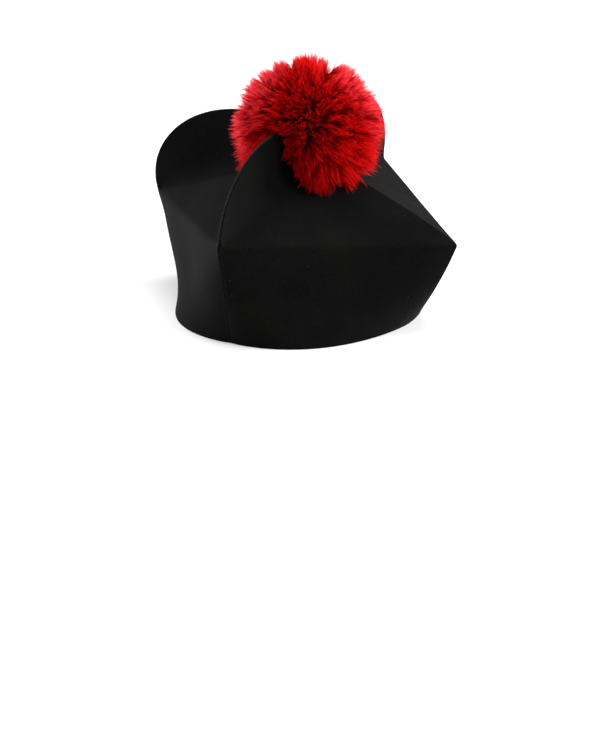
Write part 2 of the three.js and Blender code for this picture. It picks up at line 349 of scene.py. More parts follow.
def rim_point(quarter, share):
    angle = share * math.pi / 2
    turned = angle + math.radians(CORNERS[quarter["first"]]["turn"])
    radius = oval_radius(turned) * (1 + quarter["skew"] * math.sin(4 * angle))
    return numpy.array((radius * math.cos(angle), radius * math.sin(angle), 0))


def wall_point(quarter, climb, share, top):
    """climb is 0 at the rim and 1 at the fold, where the point is top."""
    first, second = CORNERS[quarter["first"]], CORNERS[quarter["second"]]
    middle = 4 * share * (1 - share)
    swell = lerp(first["swell"], second["swell"], share) * (1 - middle) + WALL_WAIST * middle
    across = climb + swell * math.sin(math.pi * climb)
    point = lerp(rim_point(quarter, share), top, across)
    point[2] = top[2] * climb
    for axis in (0, 1):
        if top[axis] <= LAYER:
            point[axis] = lerp(GAP / 2, top[axis], smooth_step(climb, CORNER_OPENS, 1))
    return point


# %% [markdown]
# ## A quarter as one sheet
# Between wall and top the cloth isn't creased but runs over a soft bend, which is tighter at the
# corner that has no horn. So each column of the sheet climbs the wall, takes its bend and then
# follows the top to the tip.

# %% The sheet of a quarter
HEM_ROWS = 5
WALL_ROWS = 34
BEND_ROWS = 10
TOP_ROWS = 76
LAST_RUN = 0.985
# rows of the top lie closer together by the fold
ROW_SPREAD = 1.25
# about how far it is from fold to tip
TOP_LENGTH = 115 * MM
NOSE_FROM = 0.8
FINE_RUNS = numpy.linspace(0, LAST_RUN, 240)


def bend_cut(quarter, share):
    """How far from the fold the bend begins. It is narrowest at the corner without a horn."""
    nose = 0
    if quarter["second"] == "left":
        nose = smooth_step(share, NOSE_FROM, 1)
    if quarter["first"] == "left":
        nose = smooth_step(1 - share, NOSE_FROM, 1)
    return lerp(FOLD_CUT, NOSE_CUT, nose)


def quarter_sheet(quarter):
    """The outside of the cloth, as rows from the rim to the tip of columns of points."""
    tops = numpy.array([top_row(quarter, run) for run in FINE_RUNS])
    fold_row = tops[0]
    width = length(fold_row[-1] - fold_row[0])
    columns = []
    for column, fold in enumerate(fold_row):
        share = length(fold - fold_row[0]) / width
        cut = bend_cut(quarter, share)
        last_climb = 1 - cut / fold[2]
        first_run = cut / TOP_LENGTH
        hem = HEM / 2 * (1 - numpy.cos(numpy.linspace(0, math.pi / 2, HEM_ROWS))) / fold[2]
        climbs = [*hem, *numpy.linspace(hem[-1], last_climb, WALL_ROWS + 1)[1:]]
        wall = [wall_point(quarter, climb, share, fold) for climb in climbs]
        spread = numpy.linspace(0, 1, TOP_ROWS) ** ROW_SPREAD
        runs = lerp(first_run, LAST_RUN, spread)
        line = [numpy.interp(runs, FINE_RUNS, tops[:, column, axis]) for axis in range(3)]
        top = numpy.stack(line, axis=1)
        bend = round_bend(wall[-1], fold, top[0], BEND_ROWS)[1:-1]
        columns.append(numpy.concatenate((wall, bend, top)))
    return numpy.stack(columns, axis=1)


# %% A little slack
# how far the cloth strays, how wide its waves are, and how far apart two quarters draw them
SLACK = 0.55 * MM
SLACK_SIZE = 38 * MM
SLACK_SHIFT = 3.7
# where the slack starts and where it is full, in widths of a horn from the seam
SLACK_FROM, SLACK_FULL = 0.4, 1.6


def sheet_normals(points):
    along = numpy.gradient(points, axis=1)
    up = numpy.gradient(points, axis=0)
    return unit(numpy.cross(along, up))


def slacken(points, seed):
    """Hand-sewn cloth is never quite true. Seams, rim, fold and horns stay where they are."""
    normals = sheet_normals(points)
    rows, columns = points.shape[:2]
    moved = points.copy()
    for row in range(HEM_ROWS, rows):
        wall_end = HEM_ROWS + WALL_ROWS
        if row < wall_end:
            along = math.sin(math.pi * (row - HEM_ROWS) / WALL_ROWS)
        else:
            along = math.sin(math.pi * (row - wall_end) / (rows - wall_end))
        for column in range(1, columns - 1):
            from_seam = min(column, columns - 1 - column) / HORN_COLUMNS
            amount = SLACK * along * smooth_step(from_seam, SLACK_FROM, SLACK_FULL)
            place = Vector(points[row, column]) / SLACK_SIZE + Vector((seed, 0, 0))
            moved[row, column] += normals[row, column] * amount * noise.noise(place)
    return moved


sheet = quarter_sheet(QUARTERS[0])
print("sheet of", sheet.shape[0], "rows and", sheet.shape[1], "columns")

# %% [markdown]
# ## The cloth's thickness
# A thickness that is simply added would leave square edges. On the real cap the cloth is turned
# in at the seams between the walls, rolls over a small round at the edge of a horn and is folded
# up round at the rim. So each row becomes a closed ring: over the outside, round one edge, back
# along the inside and round the other edge.
#
# Two quarters meet in every seam. The second end of one crosses the gap inside the seam, so that
# no light comes through. On a horn the first end of the other lies a little lower, so one edge
# stands out. That edge is rubbed, and its crest is also painted paler as a painted highlight.

# %% Rings round a sheet
EDGE_STEPS = 8
# how deep the cloth is turned in: in a seam, and on a horn as a multiple of its turn
ALLOWANCE = 4.2 * MM
CREST_DEPTH = 2.2
# how far from the edge the inside has its full thickness: in a seam, and on a horn
INSIDE_START = 6 * MM
CREST_START = 2.2 * MM
LOWER_LAYER = 0.55 * MM
OVERLAP = 1.6 * GAP

# how much paler each part is, from 0 to 1: wear, and on a horn's crest also a painted highlight
FOLD_WEAR = 0.03
FOLD_WEAR_ROWS = 3
SEAM_WEAR = 0.08
CREST_WEAR_AND_HIGHLIGHT = 0.9


def round_edge(row, normals, inside, crest, drop, over):
    """From the second point of the row over its edge and in: points of the edge, and the inside.

    crest is 0 in a seam and 1 on a horn, drop is how far the edge is lowered on a horn, and over
    is how far the end crosses to the other quarter.
    """
    down = (row[1] - row[0]) * (1, 0, 1)
    lower = down * drop * crest / EDGE_TURN
    corner = row[0] + lower
    row = numpy.concatenate((corner[None], row[1:2] + lower, row[2:]))
    seam = corner * (1, 0, 1) + (0, GAP / 2, 0)
    inward = -normals[1] * (1, 0, 1)
    inward = inward / max(length(inward), 1e-9)
    turned_in = seam + lerp(inward * length(down), down, crest)
    deep = seam + lerp(inward * ALLOWANCE, CREST_DEPTH * down, crest) - (0, over, 0)
    share = numpy.linspace(0, 1, EDGE_STEPS + 1)[1:, None]
    rest = 1 - share
    parts = (rest ** 3, 3 * share * rest ** 2, 3 * share ** 2 * rest, share ** 3)
    edge = parts[0] * row[1] + parts[1] * corner + parts[2] * seam + parts[3] * turned_in
    reach = numpy.linalg.norm(row - corner, axis=1)
    clear = int(numpy.argmax(reach > lerp(INSIDE_START, CREST_START, crest)))
    inside = inside.copy()
    for column in range(1, clear):
        inside[column] = lerp(deep, inside[clear], column / clear)
    return numpy.concatenate((edge, deep[None])), inside


def quarter_rings(quarter, points):
    """Rings of points, row by row, and for each point how much paler it is: wear, and on a horn's
    crest a painted highlight too.
    """
    normals = sheet_normals(points)
    swap = [1, 0, 2]
    rings = []
    wear_and_highlight = []
    for row, line in enumerate(points):
        way = normals[row].copy()
        height = line[:, 2].max()
        thick = lerp(HEM, CLOTH, smooth_step(height, HEM_HEIGHT, HEM_HEIGHT + 1 * MM))
        if row < HEM_ROWS:
            way[:, 2] = 0
            way /= numpy.linalg.norm(way, axis=1, keepdims=True)
        inside = line - way * thick
        inside[:, :2] = numpy.maximum(inside[:, :2], GAP / 2)
        crests = [smooth_step(row, HEM_ROWS + WALL_ROWS, HEM_ROWS + WALL_ROWS + BEND_ROWS)] * 2
        for end, corner in enumerate((quarter["first"], quarter["second"])):
            if CORNERS[corner]["top"] is None:
                crests[end] = 0
        first_edge, inside = round_edge(line, way, inside, crests[0], LOWER_LAYER, 0)
        mirrored = [part[::-1, swap] for part in (line, way, inside)]
        second_edge, inside = round_edge(*mirrored, crests[1], 0, OVERLAP)
        second_edge = second_edge[:, swap]
        inside = inside[::-1, swap]
        middle = (line + inside) / 2
        closing = 1.0
        if row < HEM_ROWS:
            closing = math.sin(math.pi / 2 * row / (HEM_ROWS - 1))
        if row == len(points) - 1:
            closing = 0.0
        ring = numpy.concatenate((line[1:-1], second_edge, inside[-2:0:-1], first_edge[::-1]))
        # at the rim and at the tip the ring closes on the middle of the cloth's thickness
        core = numpy.concatenate((
            middle[1:-1], numpy.repeat(middle[-2:-1], len(second_edge), axis=0),
            middle[-2:0:-1], numpy.repeat(middle[1:2], len(first_edge), axis=0),
        ))
        ring = lerp(core, ring, closing)
        rings.append(numpy.concatenate((ring, ring[:1])))
        from_fold = row - HEM_ROWS - WALL_ROWS - BEND_ROWS / 2
        rubbed_and_lit = numpy.full(len(ring), FOLD_WEAR * math.exp(-(from_fold / FOLD_WEAR_ROWS) ** 2))
        count = len(line) - 2
        # a horn's crest is painted paler still: a painted highlight on top of its wear
        rubbed_and_lit[count:count + EDGE_STEPS] = lerp(SEAM_WEAR, CREST_WEAR_AND_HIGHLIGHT, crests[1])
        rubbed_and_lit[-EDGE_STEPS:] = SEAM_WEAR
        wear_and_highlight.append(numpy.concatenate((rubbed_and_lit, rubbed_and_lit[:1])))
    return numpy.array(rings), numpy.array(wear_and_highlight)


rings, wear_and_highlight = quarter_rings(QUARTERS[0], sheet)
print("rings", rings.shape)


# %% Sew one quarter
WELD = 0.00001
SMOOTH_UP_TO = math.radians(60)


def deselect():
    bpy.ops.object.select_all(action="DESELECT")


def cloth_panel(quarter):
    points = slacken(quarter_sheet(quarter), SLACK_SHIFT * QUARTERS.index(quarter))
    rings, wear_and_highlight = quarter_rings(quarter, points)
    rows, columns = rings.shape[:2]
    turn = Matrix.Rotation(math.radians(CORNERS[quarter["first"]]["turn"]), 3, "Z")
    placed = rings.reshape(-1, 3) @ numpy.array(turn.transposed())

    deselect()
    bpy.ops.mesh.primitive_grid_add(x_subdivisions=columns - 1, y_subdivisions=rows - 1)
    panel = bpy.context.object
    panel.name = quarter["name"].replace("panel", "cloth")
    panel.data.vertices.foreach_set("co", placed.ravel())

    # the weave is laid on the flat cloth: across a row from its middle, and up the middle column
    across = numpy.linalg.norm(numpy.diff(rings, axis=1), axis=2).cumsum(axis=1)
    across = numpy.concatenate((numpy.zeros((rows, 1)), across), axis=1)
    across -= across[:, points.shape[1] // 2][:, None]
    up = numpy.linalg.norm(numpy.diff(rings[:, points.shape[1] // 2], axis=0), axis=1).cumsum()
    up = numpy.repeat(numpy.concatenate(([0], up))[:, None], columns, axis=1)
    flat = numpy.stack((across, up), axis=2).reshape(-1, 2)
    corners = numpy.empty(len(panel.data.loops), dtype=int)
    panel.data.loops.foreach_get("vertex_index", corners)
    panel.data.uv_layers[0].data.foreach_set("uv", flat[corners].ravel())

    rubbed_and_lit = panel.data.attributes.new("wear_and_highlight", "FLOAT", "POINT")
    rubbed_and_lit.data.foreach_set("value", wear_and_highlight.ravel())

    bpy.ops.object.mode_set(mode="EDIT")
    bpy.ops.mesh.select_all(action="SELECT")
    bpy.ops.mesh.remove_doubles(threshold=WELD)
    bpy.ops.mesh.normals_make_consistent(inside=False)
    bpy.ops.object.mode_set(mode="OBJECT")
    bpy.ops.object.shade_smooth_by_angle(angle=SMOOTH_UP_TO)
    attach(panel, "root")
    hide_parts(quarter["name"])
    return panel


panels = [cloth_panel(quarter) for quarter in QUARTERS]
for panel in panels:
    panel.data.calc_loop_triangles()
    triangles = len(panel.data.loop_triangles)
    print(panel.name, len(panel.data.vertices), "points", triangles, "triangles")

# %% [markdown]
# ## Black wool
# The cloth is a fine, dull black wool. Up close it is ribs of thread under a thin fuzz. The fuzz
# is what catches light at a grazing angle, and the shader's sheen stands for it. The ribs follow
# the cloth, so they are drawn on its own map. Fuzz, faint patches and a little lint are drawn in
# space. Edges that are often touched are rubbed a little paler, and the crests of the horns are
# painted paler still, as a painted highlight where the light grazes them.

# %% Small helpers for materials
def new_material(name):
    material = bpy.data.materials.new(name)
    material.use_nodes = True
    return material, material.node_tree, material.node_tree.nodes["Principled BSDF"]


def node(tree, kind, settings=(), **sockets):
    """A new node. A socket's name is given with _ for each space, or as n1, n2 for its number."""
    made = tree.nodes.new("ShaderNode" + kind)
    for key, value in dict(settings).items():
        setattr(made, key, value)
    for key, value in sockets.items():
        numbered = key[0] == "n" and key[1:].isdigit()
        socket = made.inputs[int(key[1:]) if numbered else key.replace("_", " ")]
        if isinstance(value, bpy.types.NodeSocket):
            tree.links.new(value, socket)
        else:
            socket.default_value = value
    return made


def math_node(tree, operation, first, second=0.5, third=0.5):
    return node(tree, "Math", {"operation": operation}, n0=first, n1=second, n2=third).outputs[0]


def mix_colour(tree, share, first, second, blend="MIX"):
    settings = {"data_type": "RGBA", "blend_type": blend}
    return node(tree, "Mix", settings, n0=share, n6=first, n7=second).outputs[2]


def ramp(tree, value, stops):
    """A value turned into a grey or a colour. Stops are pairs of place and grey or colour."""
    made = node(tree, "ValToRGB", Fac=value)
    while len(made.color_ramp.elements) < len(stops):
        made.color_ramp.elements.new(0.5)
    for element, (place, shade) in zip(made.color_ramp.elements, stops):
        element.position = place
        element.color = (*shade, 1) if isinstance(shade, tuple) else (shade, shade, shade, 1)
    return made.outputs["Color"]


# %% Cloth material
RIB = 0.00062
RIB_SLANT = math.radians(28)
RIBS_TO_SCALE = 0.3142
FUZZ = 0.0013
PATCH = 0.035
LINT = 0.0065
LINT_RADIUS = 0.045
# the share of places for lint that stay empty
LINT_SCARCE = 0.72
DEEP_BLACK = (0.0002, 0.0002, 0.00018)
PALE_BLACK = (0.0054, 0.0054, 0.0051)
# the grey of rubbed edges, which on the horns' crests is also a painted highlight
RUBBED_AND_LIT_GREY = (0.030, 0.030, 0.029, 1)
LINT_GREY = (0.045, 0.045, 0.043, 1)

cloth, tree, shader = new_material("black_wool")
flat = node(tree, "UVMap", {"uv_map": "UVMap"}).outputs["UV"]
space = node(tree, "TexCoord").outputs["Object"]
slanted = node(tree, "Mapping", Vector=flat, Rotation=(0, 0, RIB_SLANT)).outputs["Vector"]
rib_scale = RIBS_TO_SCALE / RIB
ribs = node(tree, "TexWave", {"bands_direction": "X"}, Vector=slanted, Scale=rib_scale,
            Distortion=1.2, Detail=1.0, Detail_Scale=0.6).outputs["Fac"]
picks = node(tree, "TexWave", {"bands_direction": "Y"}, Vector=flat, Scale=rib_scale * 0.8,
             Distortion=0.8, Detail=1.0, Detail_Scale=0.6).outputs["Fac"]
fuzz = node(tree, "TexNoise", Vector=space, Scale=1 / FUZZ,
            Detail=3.0, Roughness=0.6).outputs["Fac"]
patches = node(tree, "TexNoise", Vector=space, Scale=1 / PATCH, Detail=2.0).outputs["Fac"]

weave = math_node(tree, "MULTIPLY_ADD", ribs, 0.22, math_node(tree, "MULTIPLY", picks, 0.12))
height = math_node(tree, "ADD", weave, fuzz)
bump = node(tree, "Bump", Height=height, Strength=0.55, Distance=0.0004)
tree.links.new(bump.outputs["Normal"], shader.inputs["Normal"])

tone = math_node(tree, "MULTIPLY_ADD", patches, 0.35, math_node(tree, "MULTIPLY", height, 0.5))
black = ramp(tree, tone, [(0.30, DEEP_BLACK), (0.70, PALE_BLACK)])
# paler where rubbed; on the horns' crests this is also a painted highlight
wear_and_highlight = node(tree, "Attribute", {"attribute_name": "wear_and_highlight"}).outputs["Fac"]
rubbed_and_lit = math_node(tree, "MULTIPLY", wear_and_highlight, ramp(tree, fuzz, [(0.35, 0.1), (0.65, 1.0)]))
worn_and_lit = mix_colour(tree, rubbed_and_lit, black, RUBBED_AND_LIT_GREY)
lint = node(tree, "TexVoronoi", Vector=space, Scale=1 / LINT)
speck = math_node(tree, "LESS_THAN", lint.outputs["Distance"], LINT_RADIUS)
cell_luck = node(tree, "SeparateColor", Color=lint.outputs["Color"]).outputs[0]
chosen_cell = math_node(tree, "GREATER_THAN", cell_luck, LINT_SCARCE)
dust = math_node(tree, "MULTIPLY", speck, chosen_cell)
colour = mix_colour(tree, dust, worn_and_lit, LINT_GREY)
tree.links.new(colour, shader.inputs["Base Color"])
tree.links.new(ramp(tree, fuzz, [(0.3, 0.82), (0.7, 0.98)]), shader.inputs["Roughness"])
shader.inputs["Specular IOR Level"].default_value = 0.04
shader.inputs["Sheen Weight"].default_value = 0.037
shader.inputs["Sheen Roughness"].default_value = 0.2
for panel in panels:
    panel.data.materials.append(cloth)
print("nodes in the cloth", len(tree.nodes))

# %% [markdown]
# ## The pompom's yarn
# A pompom is thousands of cut yarns, tied tight in the middle. A ball with a bumpy surface would
# never look soft at its rim, so we make the strands themselves. One strand is modelled once: a
# small triangle pulled out in three moves and closed to a point. Then it is laid out many times,
# each copy along a bent line of its own.
#
# Each yarn is a twist of four plies, and each ply holds three strands. The yarns lean together
# into tufts, and the ball parts in a few places where the yarns lean away.

# %% One strand
STRAND_STATIONS = (0, 0.4, 0.78, 1)


def strand_shape():
    """The points and faces of one strand, one wide and one long."""
    deselect()
    bpy.ops.mesh.primitive_circle_add(vertices=3, radius=1, fill_type="NGON")
    strand = bpy.context.object
    bpy.ops.object.mode_set(mode="EDIT")
    bpy.ops.mesh.select_all(action="SELECT")
    for below, above in zip(STRAND_STATIONS, STRAND_STATIONS[1:]):
        move = {"value": (0, 0, above - below)}
        bpy.ops.mesh.extrude_region_move(TRANSFORM_OT_translate=move)
    bpy.ops.mesh.merge(type="CENTER")
    bpy.ops.mesh.select_all(action="SELECT")
    bpy.ops.mesh.normals_make_consistent(inside=False)
    bpy.ops.object.mode_set(mode="OBJECT")
    points = numpy.array([vertex.co for vertex in strand.data.vertices])
    faces = [tuple(face.vertices) for face in strand.data.polygons]
    bpy.data.objects.remove(strand)
    return points, faces


strand_points, strand_faces = strand_shape()
strand_triangles = sum(len(face) - 2 for face in strand_faces)
print("a strand has", len(strand_points), "points and", strand_triangles, "triangles")

# %% How the yarns are spread
POMPOM_CENTRE = Vector((0, 0, 137 * MM))
POMPOM_RADIUS = 55.5 * MM
POMPOM_CROWN = 46.5 * MM
YARNS = 4200
PLIES = 4
FIBRES = 12
TUFTS = 230
SCATTER = 1.2
chance = numpy.random.default_rng(42)


def even_directions(count):
    """Directions on a spiral that spreads them evenly over a ball, each shifted a little."""
    step = numpy.arange(count) + 0.5
    height = 1 - 2 * step / count
    angle = step * math.pi * (3 - math.sqrt(5))
    flat = numpy.sqrt(1 - height ** 2)
    spots = numpy.stack((flat * numpy.cos(angle), flat * numpy.sin(angle), height), axis=1)
    spots += chance.normal(0, SCATTER / math.sqrt(count), spots.shape)
    return unit(spots)


# %% Where the ball parts
PARTINGS = [
    # as the camera sees the ball: the angle round it from its right, start and end away from its
    # middle, how far the yarns lean away, and how wide the parting is; all in degrees
    (66, 28, 125, 7, 7),
    (108, 35, 110, 4, 7),
    (172, 40, 110, 2.5, 8),
    (200, 35, 100, 3, 6),
    (22, 35, 110, 3, 7),
    (-12, 40, 110, 3, 6),
    (-43, 55, 115, 6, 7),
    (-70, 40, 100, 3, 6),
    (140, 30, 100, 3, 6),
]
PARTING_FADE = 0.3
PARTING_SPAN = 1.4
DEEPEST_LEAN = 9
facing = numpy.array(to_camera)
side = numpy.array((math.cos(VIEW_AZIMUTH), math.sin(VIEW_AZIMUTH), 0))
above = numpy.cross(facing, side)


def lean_apart(directions):
    """Directions turned away from the partings, and how deep in a parting each one is."""
    turned = directions.copy()
    depth = numpy.zeros(len(directions))
    for angle, start, end, lean, width in PARTINGS:
        away = numpy.arccos(numpy.clip(turned @ facing, -1, 1))
        round_ball = numpy.arctan2(turned @ above, turned @ side)
        offset = (round_ball - math.radians(angle) + math.pi) % (2 * math.pi) - math.pi
        distance = offset * numpy.sin(away)
        fade_in = numpy.clip((away - math.radians(start)) / PARTING_FADE, 0, 1)
        fade_out = numpy.clip((math.radians(end) - away) / PARTING_FADE, 0, 1)
        near = numpy.exp(-(distance / math.radians(width)) ** 2) * (fade_in * fade_out)
        near = numpy.where(numpy.abs(offset) < PARTING_SPAN, near, 0)
        push = numpy.sign(offset) * math.radians(lean) * near
        tangent = unit(numpy.cross(facing, turned))
        turned = unit(turned + tangent * push[:, None])
        depth = numpy.maximum(depth, near * lean / DEEPEST_LEAN)
    return turned, depth


# %% Yarns and tufts
TUFT_LENGTH, TUFT_LENGTH_SPREAD = 1.055, 0.02
TUFT_LEAN = 0.05

yarns = even_directions(YARNS)
tufts = even_directions(TUFTS)
tuft_of = numpy.argmax(yarns @ tufts.T, axis=1)
tuft_length = chance.normal(TUFT_LENGTH, TUFT_LENGTH_SPREAD, TUFTS)
tuft_lean = chance.normal(0, TUFT_LEAN, (TUFTS, 3))
print(YARNS, "yarns in", TUFTS, "tufts")

# %% [markdown]
# ## How long each yarn is
# The ball isn't even. Its low yarns hang down, more on some sides than on others, and are short
# beside the front horn. One side has been pressed flat, and scissors have trimmed the outline.

# %% The yarns' lengths
CLUMPING = 0.25
YARN_SHORTER = 0.055
# low yarns: how much longer, by their compass angle in degrees, where -90 is the front
LOW_FROM, LOW_FULL = 0.25, 0.5
HANG_AT = (-180, -115, -91, -89, -72, -50, -10, 40, 90, 180)
HANG_BY = (0.06, 0.06, 0.0, -0.20, 0.02, 0.19, 0.18, 0.12, 0.12, 0.06)
# yarns beside the front horn: how much shorter, at which compass angle and how wide
BESIDE_HORN_BY = 0.32
BESIDE_HORN_AT, BESIDE_HORN_WIDTH = -84, 13
BESIDE_HORN_UNDER, BESIDE_HORN_FADE = 0.2, 0.35
# the trimmed outline: how much shorter, by the angle round the ball as the camera sees it
TRIM_AT = (-180, -60, -35, -20, 0, 25, 45, 66, 80, 100, 115, 132, 150, 170, 180)
TRIM_BY = (0, 0, 0.03, 0.06, 0.02, 0.05, 0.02, 0.05, 0.03, 0, 0.05, 0.06, 0.05, 0, 0)
# the pressed side: its direction, how much shorter, where it starts and how soon it is full
PRESSED_SIDE = numpy.array((-0.88, -0.46, 0.08))
PRESSED_BY = 0.06
PRESSED_FROM, PRESSED_FULL = 0.82, 0.15
PARTED_BY = 0.05


def ball_reach(directions):
    """From the middle of the pompom to its surface: it is flatter above than below."""
    upper = numpy.where(directions[:, 2] > 0, POMPOM_CROWN, POMPOM_RADIUS)
    flat = (directions[:, 0] ** 2 + directions[:, 1] ** 2) / POMPOM_RADIUS ** 2
    return 1 / numpy.sqrt(flat + (directions[:, 2] / upper) ** 2)


yarn_tips = unit(lerp(yarns, tufts[tuft_of], CLUMPING) + tuft_lean[tuft_of])
yarn_tips, parting = lean_apart(yarn_tips)
yarn_reach = 1 - numpy.abs(chance.normal(0, YARN_SHORTER, YARNS))
lowness = numpy.clip((-yarn_tips[:, 2] - LOW_FROM) / LOW_FULL, 0, 1)
compass = numpy.degrees(numpy.arctan2(yarn_tips[:, 1], yarn_tips[:, 0]))
hanging = 1 + lowness * numpy.interp(compass, HANG_AT, HANG_BY)
beside_horn = numpy.exp(-((compass - BESIDE_HORN_AT) / BESIDE_HORN_WIDTH) ** 2)
beside_horn *= numpy.clip((BESIDE_HORN_UNDER - yarn_tips[:, 2]) / BESIDE_HORN_FADE, 0, 1)
hanging *= 1 - BESIDE_HORN_BY * beside_horn
pressed = numpy.clip((yarn_tips @ PRESSED_SIDE - PRESSED_FROM) / PRESSED_FULL, 0, 1)
hanging *= 1 - PRESSED_BY * pressed
round_ball = numpy.degrees(numpy.arctan2(yarn_tips @ above, yarn_tips @ side))
at_outline = (1 - (yarn_tips @ facing) ** 2) ** 2
hanging *= 1 - numpy.interp(round_ball, TRIM_AT, TRIM_BY) * at_outline
yarn_length = hanging * ball_reach(yarn_tips) * tuft_length[tuft_of] * yarn_reach
yarn_length *= 1 - PARTED_BY * parting
print("yarns", round(yarn_length.min() / MM), "to", round(yarn_length.max() / MM), "mm long")

# %% Plies and their strands
# spreads of length are shares of the yarn's own, and spreads of direction are parts of one
PLY_FRAY = 2.0, 0.012
PLY_LENGTH, PLY_LENGTH_SPREAD = 0.965, 0.042
PLY_BEND = 1.1 * MM
FIBRE_LENGTH_SPREAD = 0.008
FIBRE_BEND = 0.2 * MM
LONGEST = 1.045
BASE_SPREAD = 0.014
TIP_SPREAD = 0.005
STRAY_SHARE = 0.005
STRAY_SPREAD = 0.28
STRAY_ABOVE = -0.1

yarn_of = numpy.repeat(numpy.arange(YARNS), FIBRES)
fibres = len(yarn_of)
ply_of = yarn_of * PLIES + numpy.arange(fibres) % FIBRES % PLIES
plies = YARNS * PLIES
fray = chance.gamma(*PLY_FRAY, YARNS)
ply_lean = chance.normal(0, 1, (plies, 3)) * numpy.repeat(fray, PLIES)[:, None]
ply_share = chance.normal(PLY_LENGTH, PLY_LENGTH_SPREAD, plies)
ply_bend = chance.normal(0, PLY_BEND, (plies, 3))
stray = (chance.random(fibres) < STRAY_SHARE) & (yarn_tips[yarn_of, 2] > STRAY_ABOVE)
spread = numpy.where(stray, STRAY_SPREAD, TIP_SPREAD)[:, None]
fibre_bases = unit(yarns[yarn_of] + chance.normal(0, BASE_SPREAD, (fibres, 3)))
fibre_tips = unit(yarn_tips[yarn_of] + ply_lean[ply_of] + chance.normal(0, 1, (fibres, 3)) * spread)
fibre_share = ply_share[ply_of] + chance.normal(0, FIBRE_LENGTH_SPREAD, fibres)
fibre_share = numpy.minimum(fibre_share, LONGEST)
fibre_length = yarn_length[yarn_of] * fibre_share
bend = ply_bend[ply_of] + chance.normal(0, FIBRE_BEND, (fibres, 3))
print(fibres, "strands in", plies, "plies")

# %% The strands' lines
# a strand starts this far from the middle, bends more towards its end, and sinks a little
START_SHARE = 0.48
LATE_LEAN = 1.4
DROOP = 2.0 * MM

lines = []
for station in STRAND_STATIONS:
    way = unit(lerp(fibre_bases, fibre_tips, station ** LATE_LEAN))
    reach = fibre_length * lerp(START_SHARE, 1, station)
    points = numpy.array(POMPOM_CENTRE) + way * reach[:, None]
    points += bend * math.sin(math.pi * station)
    points[:, 2] -= DROOP * station ** 2 * (1 - numpy.abs(way[:, 2]))
    lines.append(points)
lines = numpy.stack(lines, axis=1)
print("lines", lines.shape)

# %% [markdown]
# ## Yarn on cloth
# The lower yarns lie on the crown and beside the horns. For each point of a line that would be
# in the cloth, we look straight down to find the cloth, and lift the point just above it. A point
# in a horn is pushed out to the side that its yarn leans to. A strand that would start deep under
# the cloth is left out.

# %% Clear of the cloth
from mathutils.bvhtree import BVHTree

LIFT = 0.5 * MM
LIFT_SPREAD = 1.2 * MM
HORN_CLEAR = LAYER + 0.5 * MM
TOO_DEEP = 16 * MM
# no cloth is higher than this, and we look down on it from far above
ABOVE_CLOTH = 149 * MM
LOOK_FROM = 0.3
trees = [BVHTree.FromObject(panel, bpy.context.evaluated_depsgraph_get()) for panel in panels]


def cloth_height(x, y):
    hits = [tree.ray_cast(Vector((x, y, LOOK_FROM)), Vector((0, 0, -1)))[0] for tree in trees]
    return max((hit.z for hit in hits if hit), default=0)


kept = numpy.ones(fibres, dtype=bool)
lift = LIFT + numpy.abs(chance.normal(0, LIFT_SPREAD, fibres))
for fibre in range(fibres):
    lean = fibre_tips[fibre]
    for point in lines[fibre]:
        if point[2] > ABOVE_CLOTH:
            continue
        for axis in (0, 1):
            on_left = axis == 1 and point[0] > 0
            if abs(point[axis]) < HORN_CLEAR and not on_left:
                horn_line = (0, 1) if axis == 0 else (1, 0)
                if cloth_height(*(point[:2] * horn_line)) > point[2] - LIFT:
                    point[axis] = math.copysign(HORN_CLEAR + lift[fibre] / 2, lean[axis])
        height = cloth_height(point[0], point[1])
        if point[2] < height + lift[fibre]:
            if point[2] < height - TOO_DEEP:
                kept[fibre] = False
            point[2] = height + lift[fibre]
print("strands kept", int(kept.sum()))

# %% Lay out the strands
ROOT_WIDTH = 0.32 * MM
TIP_WIDTH = 0.10 * MM
LUCK_SHARED = 0.5
STATION_SLACK = 0.01


def strand_piece(name, chosen):
    """One mesh with a strand along each of the chosen lines."""
    line = lines[chosen]
    count = len(line)
    ahead = unit(numpy.gradient(line, axis=1))
    across = unit(numpy.cross(ahead, unit(chance.normal(0, 1, (count, 1, 3)))))
    other = numpy.cross(ahead, across)
    just_below = numpy.array(STRAND_STATIONS) - STATION_SLACK
    station = numpy.searchsorted(just_below, strand_points[:, 2]) - 1
    share = numpy.array(STRAND_STATIONS)[station]
    width = lerp(ROOT_WIDTH, TIP_WIDTH, share)[None, :, None]
    round_line = across[:, station] * strand_points[None, :, :1]
    round_line = round_line + other[:, station] * strand_points[None, :, 1:2]
    placed = line[:, station] + width * round_line

    mesh = bpy.data.meshes.new(name)
    sizes = numpy.tile([len(face) for face in strand_faces], count)
    corners = numpy.concatenate([face for face in strand_faces])
    corners = (corners[None] + len(strand_points) * numpy.arange(count)[:, None]).ravel()
    mesh.vertices.add(placed.shape[0] * placed.shape[1])
    mesh.vertices.foreach_set("co", placed.ravel())
    mesh.loops.add(len(corners))
    mesh.loops.foreach_set("vertex_index", corners)
    mesh.polygons.add(len(sizes))
    mesh.polygons.foreach_set("loop_start", numpy.concatenate(([0], sizes.cumsum()[:-1])))
    mesh.update(calc_edges=True)

    # across the map each ply has a place of its own, and up the map it runs from root to tip
    luck = numpy.repeat(ply_luck[ply_of[chosen]], len(strand_points))
    outward = yarn_reach[yarn_of[chosen]] * fibre_share[chosen] / LONGEST
    ends = (share[None] * outward[:, None]).ravel()
    layer = mesh.uv_layers.new(name="yarn")
    layer.data.foreach_set("uv", numpy.stack((luck[corners], ends[corners]), axis=1).ravel())
    piece = bpy.data.objects.new(name, mesh)
    bpy.context.collection.objects.link(piece)
    deselect()
    piece.select_set(True)
    bpy.context.view_layer.objects.active = piece
    bpy.ops.object.shade_smooth()
    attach(piece, "root")
    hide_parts("pompom")
    return piece


